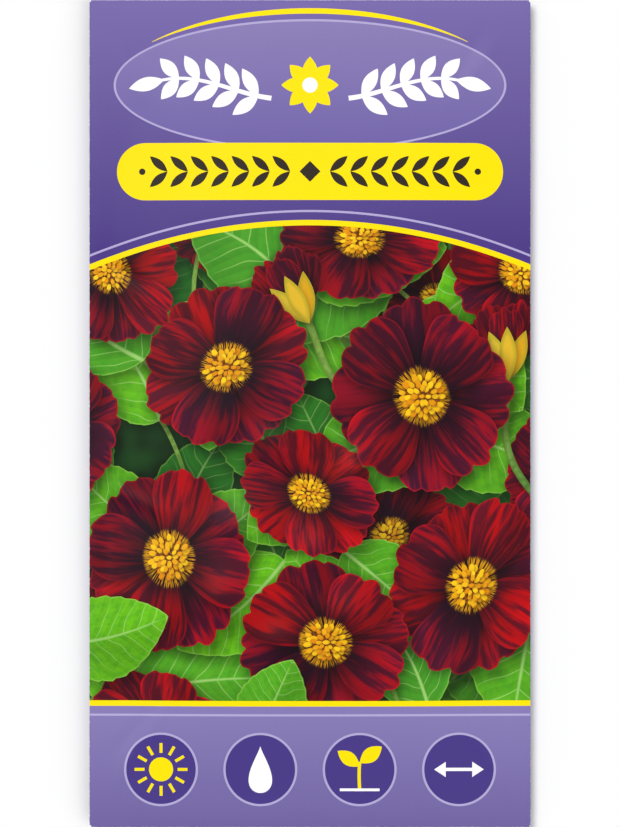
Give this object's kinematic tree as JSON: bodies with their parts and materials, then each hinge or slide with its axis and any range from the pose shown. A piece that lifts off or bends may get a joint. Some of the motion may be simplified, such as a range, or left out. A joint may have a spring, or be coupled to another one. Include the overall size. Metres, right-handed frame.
{
  "type": "seed packet",
  "caption": "Sealed flat paper envelope for garden seeds, folded from one sheet and glued down the back and at both ends, slightly plump over the loose seeds inside; it lies on its back.",
  "frame": {"origin": "centre of the packet's outline, on the surface that its back lies on", "axes": "+X across the printed front to its right, +Y along the packet to its top edge, +Z out of the printed front"},
  "size_m": [0.08, 0.15, 0.0072],
  "materials": {
    "printed_paper": "coated, semi-gloss, printed",
    "dried_glue": "dull",
    "seed_husk": "dry, wrinkled"
  },
  "bodies": {
    "root": {"paper_envelope": "printed_paper", "back_seam_glue": "dried_glue", "bottom_flap_glue": "dried_glue", "top_flap_glue": "dried_glue", "seed_1": "seed_husk", "seed_2": "seed_husk", "seed_3": "seed_husk", "seed_4": "seed_husk", "seed_5": "seed_husk", "seed_6": "seed_husk", "seed_7": "seed_husk", "seed_8": "seed_husk"}
  },
  "joints": []
}
